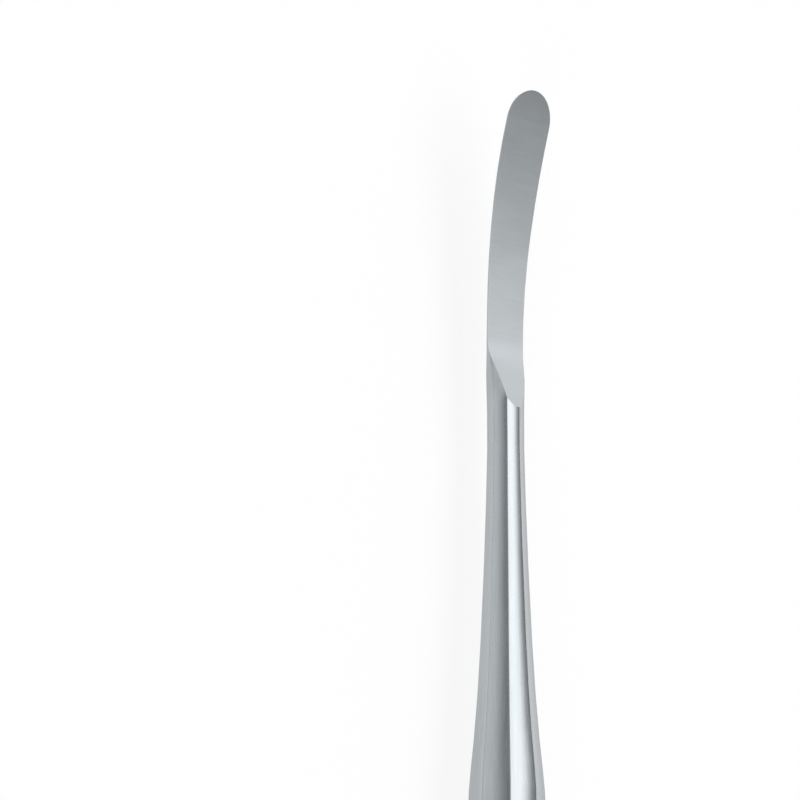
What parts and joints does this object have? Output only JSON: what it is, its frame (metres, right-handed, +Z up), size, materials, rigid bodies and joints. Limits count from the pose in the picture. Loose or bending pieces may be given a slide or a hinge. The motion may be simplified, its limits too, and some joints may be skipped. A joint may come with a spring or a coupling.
{
  "type": "periosteal elevator",
  "caption": "Double-ended steel hand instrument: octagonal handle tapering to a broad curved round-ended blade and a small diamond-pointed blade, for lifting tissue off bone.",
  "frame": {"origin": "middle of the handle's resting flat, at mid-length of the instrument", "axes": "+X along the instrument towards the round blade, +Z up, the way the blades' faces look"},
  "size_m": [0.18, 0.0075, 0.0086],
  "materials": {
    "steel": "satin"
  },
  "bodies": {
    "root": {"elevator_body": "steel"}
  },
  "joints": []
}
